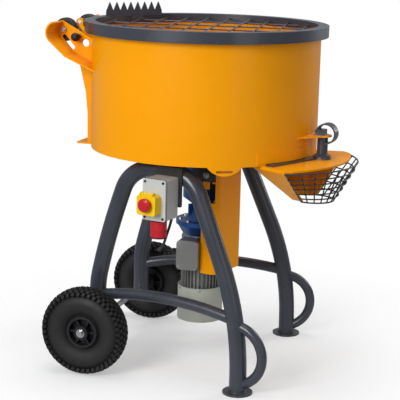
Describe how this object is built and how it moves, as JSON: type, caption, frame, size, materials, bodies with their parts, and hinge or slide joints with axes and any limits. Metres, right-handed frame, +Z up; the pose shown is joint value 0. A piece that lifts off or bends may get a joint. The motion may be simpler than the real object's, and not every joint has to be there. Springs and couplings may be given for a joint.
{
  "type": "pan mixer",
  "caption": "Forced-action pan mixer on a two-wheeled tubular trolley with geared motor underneath, grid lid, swing gate, chute and wire guard",
  "frame": {"origin": "middle of the whole machine's bounding box, on the ground", "axes": "+X towards the feet, grips and discharge chute, -X towards the trolley wheels, +Z up, the control box on the -Y side"},
  "size_m": [1.065, 0.8646, 1.23],
  "materials": {
    "frame_paint": "semi-gloss anthracite",
    "pan_paint": "gloss yellow orange",
    "gear_paint": "gloss blue",
    "motor_paint": "satin grey",
    "cowl_paint": "satin light grey",
    "black_paint": "satin black",
    "steel": "bright turned steel",
    "worn_steel": "worn bare steel",
    "cast": "cast",
    "rubber": "matt",
    "tyre": "moulded",
    "black_plastic": "moulded",
    "box_plastic": "fine grain light grey",
    "yellow_plastic": "moulded",
    "red_plastic": "moulded",
    "green_plastic": "moulded",
    "brass": "plain"
  },
  "bodies": {
    "chassis": {"side_frame_right": "frame_paint", "side_frame_left": "frame_paint", "lower_bars": "frame_paint", "grips": "frame_paint", "feet": "frame_paint", "mount_plate": "black_paint", "mount_bolts": "steel", "trolley_axle": "steel", "axle_fittings": "steel", "gearbox": "gear_paint", "motor_bell": "gear_paint", "motor_body": "motor_paint", "terminal_box": "motor_paint", "terminal_lid": "motor_paint", "fan_cowl": "cowl_paint", "motor_cable": "rubber", "cable_glands": "black_plastic", "drive_cover": "pan_paint", "box_bracket": "black_paint", "control_box": "box_plastic", "box_lid": "box_plastic", "box_screws": "black_plastic", "switch_body": "yellow_plastic", "power_inlet": "red_plastic", "inlet_pins": "brass", "pan_shell": "pan_paint", "wear_liners": "worn_steel", "centre_column": "pan_paint", "rim_seal": "rubber", "chute_plate": "pan_paint", "chute": "pan_paint", "wire_guard": "black_paint", "gate_ear": "pan_paint", "loading_brackets": "pan_paint", "tie_down_lug": "pan_paint", "loading_axle": "steel", "hinge_ears": "pan_paint", "hinge_pin": "steel"},
    "wheel_right": {"wheel_hub_right": "black_plastic", "tyre_right": "tyre"},
    "wheel_left": {"wheel_hub_left": "black_plastic", "tyre_left": "tyre"},
    "loader_right": {"loading_wheel_right": "black_plastic"},
    "loader_left": {"loading_wheel_left": "black_plastic"},
    "gate": {"gate_plate": "worn_steel", "gate_post": "frame_paint", "gate_lever": "frame_paint"},
    "rotor": {"rotor_shaft": "steel", "rotor_hub": "cast", "mixing_arms": "frame_paint", "mixing_paddles": "worn_steel"},
    "fan": {"cooling_fan": "black_plastic"},
    "lid": {"lid_ring": "frame_paint", "lid_grid": "frame_paint", "bag_splitter": "frame_paint"},
    "catch": {"catch_plunger": "black_plastic"},
    "flap": {"switch_flap": "yellow_plastic"},
    "mushroom": {"stop_mushroom": "red_plastic"},
    "start": {"start_button": "green_plastic"},
    "stop": {"stop_button": "red_plastic"}
  },
  "joints": [
    {"name": "trolley_wheel_right", "type": "hinge", "parent": "chassis", "child": "wheel_right", "pos_m": [-0.3265, -0.32207, 0.15075], "axis": [0, 1, 0], "continuous": true},
    {"name": "trolley_wheel_left", "type": "hinge", "parent": "chassis", "child": "wheel_left", "pos_m": [-0.3265, 0.35593, 0.15075], "axis": [0, 1, 0], "continuous": true},
    {"name": "loading_wheel_right", "type": "hinge", "parent": "chassis", "child": "loader_right", "pos_m": [-0.4985, -0.08507, 1.142], "axis": [0, 1, 0], "continuous": true},
    {"name": "loading_wheel_left", "type": "hinge", "parent": "chassis", "child": "loader_left", "pos_m": [-0.4985, 0.11893, 1.142], "axis": [0, 1, 0], "continuous": true},
    {"name": "gate_swing", "type": "hinge", "parent": "chassis", "child": "gate", "pos_m": [0.4045, -0.03507, 0.751], "axis": [0, 0, 1], "range_deg": [0, 63]},
    {"name": "rotor_turn", "type": "hinge", "parent": "chassis", "child": "rotor", "pos_m": [-0.0245, 0.01693, 0.9], "axis": [0, 0, 1], "continuous": true},
    {"name": "fan_turn", "type": "hinge", "parent": "chassis", "child": "fan", "pos_m": [-0.0245, 0.01693, 0.21], "axis": [0, 0, 1], "continuous": true},
    {"name": "lid_hinge", "type": "hinge", "parent": "chassis", "child": "lid", "pos_m": [-0.4565, 0.01693, 1.168], "axis": [0, -1, 0], "range_deg": [0, 90]},
    {"name": "catch_pull", "type": "slide", "parent": "chassis", "child": "catch", "axis": [0, -1, 0], "range_m": [0, 0.006], "stiffness_N_per_m": 500},
    {"name": "flap_hinge", "type": "hinge", "parent": "chassis", "child": "flap", "pos_m": [-0.11761, -0.39508, 0.6595], "axis": [-0.977, 0.213, 0], "range_deg": [0, 100]},
    {"name": "mushroom_press", "type": "slide", "parent": "flap", "child": "mushroom", "axis": [0.213, 0.977, 0], "range_m": [0, 0.0025], "stiffness_N_per_m": 400},
    {"name": "start_press", "type": "slide", "parent": "chassis", "child": "start", "axis": [0.213, 0.977, 0], "range_m": [0, 0.003], "stiffness_N_per_m": 300},
    {"name": "stop_press", "type": "slide", "parent": "chassis", "child": "stop", "axis": [0.213, 0.977, 0], "range_m": [0, 0.003], "stiffness_N_per_m": 300}
  ],
  "couplings": [
    {"joint": "fan_turn", "follows": "rotor_turn", "ratio": 48}
  ]
}
